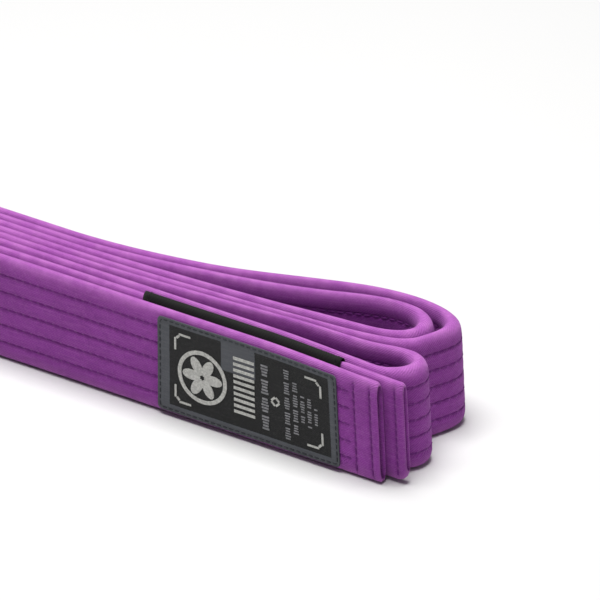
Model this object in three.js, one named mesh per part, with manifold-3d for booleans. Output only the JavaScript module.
// Martial arts belt, folded in half three times and standing on its long edge.
//
// Millimetres, +Z up. The belt's centreline lies in a level plane: it starts at tip 1 (front
// strand), runs to the left fold, comes back along the rear strand, and so on through eight strands
// to tip 2 (second strand). Every layer of the belt is a section swept along that one centreline:
// the wrapped cover, the core plies inside it and the rows of stitching on both faces.
import * as THREE from 'three';
import { mergeVertices } from 'three/addons/utils/BufferGeometryUtils.js';
import Module from 'manifold-3d';

// ---- driving dimensions -------------------------------------------------------------------------
const BELT_LENGTH = 2800;      // tip to tip, unfolded: a common adult size
const BELT_WIDTH = 40;         // the standard width, and the height of the folded belt
const COVER_THICKNESS = 2.7;   // over both walls of the wrapped cover, pressed flat
const COVER_WALL = 0.5;        // cotton cover fabric
const EDGE_CHAMFER = 0.5;      // the folded long edges of the cover are rounded off
const TIP_TURN_IN = 3;         // cover fabric folded in and closed at each tip
const SEAM_SLIT = 0.3;         // where the cover's two raw edges meet, along the inner face
const PLY_COUNT = 3;           // layers of the core
const PLY_THICKNESS = 0.35;
const PLY_WIDTH = 38;
const TOUCH_GAP = 0.15;        // left between layers that touch on the real belt

const ROW_COUNT = 5;           // rows of lockstitch along the whole belt
const ROW_PITCH = 6.6;         // from row to row, across the width
const THREAD_WIDTH = 0.7;
const THREAD_HEIGHT = 0.25;    // how far a row stands off the face
const TIP_SEAM_PLACES = [3.3, 9.9];   // two seams across each tip, from the tip's end
const ROW_STOP = 11.5;         // the lengthwise rows end here, just before the tip seams
const TIP_SEAM_MARGIN = 2;     // the tip seams stop this far from the long edges

const STRAND_PITCH = 3.7;      // between the centrelines of pressed strands
const BAR_PITCH = 4.5;         // the same beside strand 2, which the rank bar thickens
const FOLD_RADIUS = 3.8;       // centreline radius of the innermost left fold
const FLARE = 40;              // the strands spread over this length before the left folds
const OPEN_START = -150;       // right of this X the back strands begin to open
const TIP_2_REACH = 7.6;       // tip 2 stands out past tip 1

const BAR_SPAN = [-100.7, -18.2];   // rank bar along strand 2
const BAR_THICKNESS = 0.35;
const BAR_FLOOR_GAP = 0.3;     // the sleeve's edges turn under the belt, clear of the floor
const BAR_SEAM_INSET = 2;      // the bands of stitches lie this far inside the sleeve's ends
const BAR_SEAM_GAP = 0.08;     // between the sleeve and its stitches
const BAR_SEAM_HEIGHT = 0.15;
const LABEL_SPAN = [-91, -16.5];    // woven label along strand 1
const LABEL_HEIGHTS = [1.8, 38];
const LABEL_THICKNESS = 0.35;
const LABEL_CORNER = 1.5;
const LABEL_SEAM_INSET = 1;    // the seam that holds the label runs this far inside its edge

// ---- colours ------------------------------------------------------------------------------------
const COLOURS = {
  cover: { color: 0x8a4a98, roughness: 0.85 },
  core: { color: 0xe9e4da, roughness: 0.95 },
  thread: { color: 0x6f3a80, roughness: 0.6 },
  barCloth: { color: 0x1d1e1d, roughness: 0.75 },
  barThread: { color: 0x101010, roughness: 0.6 },
  labelCloth: { color: 0x3a3c3e, roughness: 0.7 },
  labelThread: { color: 0x55585c, roughness: 0.6 },
};

// ---- the centreline -----------------------------------------------------------------------------
// A knot is [x, y, heading]: a point that the centreline passes and the way it heads there, in
// degrees. X is counted from tip 1, Y from strand 1.
const strandY = (strand) => Math.min(strand - 1, 2) * BAR_PITCH + Math.max(strand - 3, 0) * STRAND_PITCH;
const STACK_CENTRE_Y = strandY(8) / 2;

// The four left folds lie round one centre. A strand flares out to its fold's radius, goes round,
// and closes in again. towardsBack is 1 when the fold leads from front to back, otherwise -1.
function leftFold(foldX, fromStrand, toStrand, layer, towardsBack) {
  const radius = FOLD_RADIUS + layer * STRAND_PITCH;
  return [
    [foldX + FLARE, strandY(fromStrand), 180],
    [foldX, STACK_CENTRE_Y - towardsBack * radius, 180],
    [foldX - radius, STACK_CENTRE_Y, 90 * towardsBack],
    [foldX, STACK_CENTRE_Y + towardsBack * radius, 0],
    [foldX + FLARE, strandY(toStrand), 0],
  ];
}

function centrelineKnots(foldX) {
  return [
    [0, strandY(1), 180],
    ...leftFold(foldX, 1, 8, 3, 1),
    // strand 8 leans away to the back and turns over into the wide outer loop
    [OPEN_START, strandY(8), 0],
    [-95, 34, 12],
    [-54, 47.2, 19],
    [-17, 56.2, 0],
    [-1, 46.5, -90],
    [-4.8, 34.5, -112],
    [-15, 26.8, -163],
    [-38, 22.5, -173],
    [-85, 18.9, -176],
    [OPEN_START, strandY(5), 180],
    ...leftFold(foldX, 5, 4, 0, -1),
    // strand 4 follows strand 5, then drops to strand 3 in the single front loop
    [OPEN_START, strandY(4), 0],
    [-85, 15.1, 4],
    [-38, 18.8, 5],
    [-18, 21, 9],
    [-3.6, 24.2, 0],
    [3.3, 19, -90],
    [-2.8, 10.3, -150],
    [-14, strandY(3), 180],
    ...leftFold(foldX, 3, 6, 1, 1),
    // strand 6 rises into the inner loop, which lies slack inside the outer one
    [OPEN_START, strandY(6), 0],
    [-112, 21.3, 3],
    [-57, 24.9, 5],
    [-25, 29.2, 9],
    [-9, 41, 90],
    [-19, 50.2, 178],
    [-50.8, 40.5, 199],
    [-85, 31.4, 191],
    [OPEN_START, strandY(7), 180],
    ...leftFold(foldX, 7, 2, 2, -1),
    [TIP_2_REACH, strandY(2), 0],
  ];
}

const headingVector = (degrees) => new THREE.Vector2(
  Math.cos(THREE.MathUtils.degToRad(degrees)),
  Math.sin(THREE.MathUtils.degToRad(degrees)),
);

// Two knots are joined by a Bezier curve whose handles suit a circular arc of that turn.
function joinKnots(from, to) {
  const start = new THREE.Vector2(from[0], from[1]);
  const end = new THREE.Vector2(to[0], to[1]);
  const turn = THREE.MathUtils.euclideanModulo(to[2] - from[2] + 180, 360) - 180;
  const quarterTurn = THREE.MathUtils.degToRad(turn) / 4;
  const handle = start.distanceTo(end) / (3 * Math.cos(quarterTurn) ** 2);
  const leave = start.clone().addScaledVector(headingVector(from[2]), handle);
  const arrive = end.clone().addScaledVector(headingVector(to[2]), -handle);
  return new THREE.CubicBezierCurve(start, leave, arrive, end);
}

// How many straight steps a curve needs: one when straight, more the longer and rounder it is.
const FLATNESS = 0.2;
const STEP_TURN = Math.PI / 8;
const MAX_STEPS = 4;
function stepsFor(curve) {
  const samples = 12;
  let bend = 0;
  for (let i = 0; i < samples; i += 1) {
    bend += curve.getTangent(i / samples).angleTo(curve.getTangent((i + 1) / samples));
  }
  const forTurn = Math.round(bend / STEP_TURN);
  const forLength = Math.ceil(Math.sqrt(bend * curve.getLength() / (8 * FLATNESS)));
  return THREE.MathUtils.clamp(Math.max(forTurn, forLength), 1, MAX_STEPS);
}

function centrelineCurves(foldX) {
  const knots = centrelineKnots(foldX);
  return knots.slice(1).map((knot, i) => joinKnots(knots[i], knot));
}

const lengthOf = (curves) => curves.reduce((sum, curve) => sum + curve.getLength(), 0);

// The eight straight stretches take up whatever the folds leave of the belt's length.
const TRIAL_FOLD_X = -330;
const STRANDS = 8;
const spare = BELT_LENGTH - lengthOf(centrelineCurves(TRIAL_FOLD_X));
const FOLD_X = TRIAL_FOLD_X - spare / STRANDS;
const belt = centrelineCurves(FOLD_X);

// Stations are the places where every section is set square to the centreline.
function makeStations(curves) {
  const stations = [{ point: curves[0].getPoint(0), tangent: curves[0].getTangent(0) }];
  for (const curve of curves) {
    const steps = stepsFor(curve);
    for (let i = 1; i <= steps; i += 1) {
      stations.push({ point: curve.getPoint(i / steps), tangent: curve.getTangent(i / steps) });
    }
  }
  return stations;
}
const STATIONS = makeStations(belt);

// The same stations with both ends brought in along the straight tips.
function stationsWithout(tipLength) {
  const inner = STATIONS.slice(1, -1);
  const trimmed = (end, sign) => ({
    point: end.point.clone().addScaledVector(end.tangent, sign * tipLength),
    tangent: end.tangent.clone(),
  });
  return [trimmed(STATIONS[0], 1), ...inner, trimmed(STATIONS[STATIONS.length - 1], -1)];
}

// A path that visits each station once, whatever the distance between them.
class StationPath extends THREE.Curve {
  constructor(stations) {
    super();
    this.stations = stations;
  }

  getUtoTmapping(u) {
    return u;
  }

  getPoint(t) {
    const { point } = this.stations[Math.round(t * (this.stations.length - 1))];
    return new THREE.Vector3(point.x, point.y, 0);
  }

  getTangent(t) {
    const { tangent } = this.stations[Math.round(t * (this.stations.length - 1))];
    return new THREE.Vector3(tangent.x, tangent.y, 0);
  }
}

// ---- sweeping and cutting -----------------------------------------------------------------------
// A section's corners are [height, offset]: height above the floor, and distance from the
// centreline to the left of its heading. The sweep lays the shape's x downwards, so it is negated.
const sectionShape = (corners) => new THREE.Shape(corners.map(([z, n]) => new THREE.Vector2(-z, n)));

function sweep(corners, stations) {
  return new THREE.ExtrudeGeometry(sectionShape(corners), {
    steps: stations.length - 1,
    extrudePath: new StationPath(stations),
    curveSegments: 1,
  });
}

const oblong = (z0, z1, n0, n1) => [[z0, n0], [z1, n0], [z1, n1], [z0, n1]];

const wasm = await Module();
wasm.setup();

function toSolid(geometry) {
  const bare = geometry.clone();
  bare.deleteAttribute('normal');
  bare.deleteAttribute('uv');
  const merged = mergeVertices(bare, 1e-4);
  const mesh = new wasm.Mesh({
    numProp: 3,
    vertProperties: merged.attributes.position.array,
    triVerts: Uint32Array.from(merged.index.array),
  });
  return new wasm.Manifold(mesh);
}

function toGeometry(solid) {
  const mesh = solid.getMesh();
  const geometry = new THREE.BufferGeometry();
  geometry.setAttribute('position', new THREE.BufferAttribute(mesh.vertProperties, 3));
  geometry.setIndex(new THREE.BufferAttribute(mesh.triVerts, 1));
  geometry.computeVertexNormals();
  return geometry;
}

// ---- the assembly -------------------------------------------------------------------------------
const assembly = new THREE.Group();

function addPiece(name, geometry, look) {
  const mesh = new THREE.Mesh(geometry, new THREE.MeshStandardMaterial({ ...look, metalness: 0 }));
  mesh.name = name;
  assembly.add(mesh);
  return mesh;
}

const tips = [
  { name: 'tip_1', end: 0, y: strandY(1) },
  { name: 'tip_2', end: TIP_2_REACH, y: strandY(2) },
];
const HALF_COVER = COVER_THICKNESS / 2;
const HALF_HOLLOW = HALF_COVER - COVER_WALL;
const ROW_HEIGHTS = Array.from(
  { length: ROW_COUNT },
  (_, i) => BELT_WIDTH / 2 + (i - (ROW_COUNT - 1) / 2) * ROW_PITCH,
);

// Upright slab on a straight strand: x range, height range, y range.
function slab([x0, x1], [z0, z1], [y0, y1]) {
  const geometry = new THREE.BoxGeometry(x1 - x0, y1 - y0, z1 - z0);
  geometry.translate((x0 + x1) / 2, (y0 + y1) / 2, (z0 + z1) / 2);
  return geometry;
}

// Cover: one strip of cotton wrapped round the core. Its raw edges meet in a slit along the inner
// face, between two stitch rows, and its ends are folded into the hollow at the tips.
const slitHeight = (ROW_HEIGHTS[1] + ROW_HEIGHTS[2]) / 2;
const slitLow = slitHeight - SEAM_SLIT / 2;
const slitHigh = slitHeight + SEAM_SLIT / 2;
const coverFlat = HALF_COVER - EDGE_CHAMFER;
const coverSection = [
  [slitLow, -HALF_COVER],
  [EDGE_CHAMFER, -HALF_COVER],
  [0, -coverFlat],
  [0, coverFlat],
  [EDGE_CHAMFER, HALF_COVER],
  [BELT_WIDTH - EDGE_CHAMFER, HALF_COVER],
  [BELT_WIDTH, coverFlat],
  [BELT_WIDTH, -coverFlat],
  [BELT_WIDTH - EDGE_CHAMFER, -HALF_COVER],
  [slitHigh, -HALF_COVER],
  [slitHigh, -HALF_HOLLOW],
  [BELT_WIDTH - COVER_WALL, -HALF_HOLLOW],
  [BELT_WIDTH - COVER_WALL, HALF_HOLLOW],
  [COVER_WALL, HALF_HOLLOW],
  [COVER_WALL, -HALF_HOLLOW],
  [slitLow, -HALF_HOLLOW],
];

// The folded-in end is sunk a little into the cover's walls, so the two join as one body.
function turnedInEnd(tip) {
  const bite = COVER_WALL / 2;
  const depth = HALF_HOLLOW + bite;
  return slab(
    [tip.end - TIP_TURN_IN, tip.end - bite],
    [bite, BELT_WIDTH - bite],
    [tip.y - depth, tip.y + depth],
  );
}
const coverStrip = toSolid(sweep(coverSection, STATIONS));
const cover = tips.reduce((solid, tip) => solid.add(toSolid(turnedInEnd(tip))), coverStrip);
addPiece('belt_cover', toGeometry(cover), COLOURS.cover);

// Core plies: flat layers of webbing, loose in the cover except where the rows hold them.
const plyPitch = (2 * HALF_HOLLOW - PLY_THICKNESS) / (PLY_COUNT + 1) + PLY_THICKNESS / 2;
const coreStations = stationsWithout(TIP_TURN_IN + 1);
for (let i = 0; i < PLY_COUNT; i += 1) {
  const middle = (i - (PLY_COUNT - 1) / 2) * plyPitch;
  const section = oblong(
    (BELT_WIDTH - PLY_WIDTH) / 2,
    (BELT_WIDTH + PLY_WIDTH) / 2,
    middle - PLY_THICKNESS / 2,
    middle + PLY_THICKNESS / 2,
  );
  addPiece(`core_ply_${i + 1}`, sweep(section, coreStations), COLOURS.core);
}

// Lengthwise stitch rows: the needle thread on the outer face, the bobbin thread on the inner one.
// Each is a low ridge, flat against the cover.
const threadFoot = HALF_COVER + TOUCH_GAP;
const threadCrest = threadFoot + THREAD_HEIGHT;
const rowStations = stationsWithout(ROW_STOP);
const ridge = (z, side) => [
  [z - THREAD_WIDTH / 2, side * threadFoot],
  [z + THREAD_WIDTH / 2, side * threadFoot],
  [z, side * threadCrest],
];
ROW_HEIGHTS.forEach((z, i) => {
  addPiece(`needle_row_${i + 1}`, sweep(ridge(z, 1), rowStations), COLOURS.thread);
  addPiece(`bobbin_row_${i + 1}`, sweep(ridge(z, -1), rowStations), COLOURS.thread);
});

// Tip seams: two rows of stitches across each tip, on both faces.
for (const tip of tips) {
  TIP_SEAM_PLACES.forEach((place, i) => {
    for (const [face, side] of [['front', -1], ['back', 1]]) {
      const x = tip.end - place;
      const y = tip.y + side * (threadFoot + threadCrest) / 2;
      const seam = slab(
        [x - THREAD_WIDTH / 2, x + THREAD_WIDTH / 2],
        [TIP_SEAM_MARGIN, BELT_WIDTH - TIP_SEAM_MARGIN],
        [y - THREAD_HEIGHT / 2, y + THREAD_HEIGHT / 2],
      );
      addPiece(`${tip.name}_seam_${i + 1}_${face}`, seam, COLOURS.thread);
    }
  });
}

// An arch over strand 2's upper edge, with a leg down each face: x range, how far the legs stand
// from the centreline, their thickness and the height of the arch's underside.
function archOverStrand2(x0, x1, inner, thickness, under) {
  const outer = inner + thickness;
  const section = new THREE.Shape([
    new THREE.Vector2(-outer, BAR_FLOOR_GAP),
    new THREE.Vector2(-inner, BAR_FLOOR_GAP),
    new THREE.Vector2(-inner, under),
    new THREE.Vector2(inner, under),
    new THREE.Vector2(inner, BAR_FLOOR_GAP),
    new THREE.Vector2(outer, BAR_FLOOR_GAP),
    new THREE.Vector2(outer, under + thickness),
    new THREE.Vector2(-outer, under + thickness),
  ]);
  const geometry = new THREE.ExtrudeGeometry(section, { depth: x1 - x0, bevelEnabled: false });
  // stand the section up: its x lies along Y, its y along Z, and the extrusion along X
  geometry.rotateX(Math.PI / 2);
  geometry.rotateZ(Math.PI / 2);
  geometry.translate(x0, strandY(2), 0);
  return geometry;
}

// Rank bar: a black sleeve round strand 2, and the band of stitches that holds it at each end.
const barInner = threadCrest + TOUCH_GAP;
const barTop = BELT_WIDTH + TOUCH_GAP;
addPiece('rank_bar', archOverStrand2(...BAR_SPAN, barInner, BAR_THICKNESS, barTop), COLOURS.barCloth);
[BAR_SPAN[0] + BAR_SEAM_INSET, BAR_SPAN[1] - BAR_SEAM_INSET].forEach((x, i) => {
  const band = archOverStrand2(
    x - THREAD_WIDTH / 2,
    x + THREAD_WIDTH / 2,
    barInner + BAR_THICKNESS + BAR_SEAM_GAP,
    BAR_SEAM_HEIGHT,
    barTop + BAR_THICKNESS + BAR_SEAM_GAP,
  );
  addPiece(`rank_bar_seam_${i + 1}`, band, COLOURS.barThread);
});

// A plate with rounded corners, upright on the front of strand 1, with an optional window in it.
function roundedRectangle(shape, x0, x1, z0, z1, corner) {
  shape.absarc(x1 - corner, z1 - corner, corner, 0, Math.PI / 2);
  shape.absarc(x0 + corner, z1 - corner, corner, Math.PI / 2, Math.PI);
  shape.absarc(x0 + corner, z0 + corner, corner, Math.PI, Math.PI * 1.5);
  shape.absarc(x1 - corner, z0 + corner, corner, Math.PI * 1.5, Math.PI * 2);
  shape.closePath();
  return shape;
}

function frontPlate(shape, faceOffset, thickness) {
  const geometry = new THREE.ExtrudeGeometry(shape, {
    depth: thickness,
    bevelEnabled: false,
    curveSegments: 3,
  });
  geometry.rotateX(Math.PI / 2);
  geometry.translate(0, -faceOffset, 0);
  return geometry;
}

// Label: a woven patch sewn to the outer face of strand 1, over the stitch rows.
const labelFoot = threadCrest + TOUCH_GAP;
const labelShape = roundedRectangle(new THREE.Shape(), ...LABEL_SPAN, ...LABEL_HEIGHTS, LABEL_CORNER);
addPiece('woven_label', frontPlate(labelShape, labelFoot, LABEL_THICKNESS), COLOURS.labelCloth);

// Label seam: one run of stitches all round the label, just inside its edge.
function labelSeamShape() {
  const [x0, x1] = [LABEL_SPAN[0] + LABEL_SEAM_INSET, LABEL_SPAN[1] - LABEL_SEAM_INSET];
  const [z0, z1] = [LABEL_HEIGHTS[0] + LABEL_SEAM_INSET, LABEL_HEIGHTS[1] - LABEL_SEAM_INSET];
  const ring = roundedRectangle(new THREE.Shape(), x0, x1, z0, z1, LABEL_CORNER);
  const w = THREAD_WIDTH;
  ring.holes.push(roundedRectangle(new THREE.Path(), x0 + w, x1 - w, z0 + w, z1 - w, LABEL_CORNER - w));
  return ring;
}
const seamFoot = labelFoot + LABEL_THICKNESS + TOUCH_GAP;
addPiece('label_seam', frontPlate(labelSeamShape(), seamFoot, THREAD_HEIGHT), COLOURS.labelThread);

// The part's origin is under the middle of its box, on the floor.
const box = new THREE.Box3().setFromObject(assembly);
const middle = box.getCenter(new THREE.Vector3());
assembly.position.set(-middle.x, -middle.y, -box.min.z);
assembly.updateMatrixWorld(true);

export default assembly;
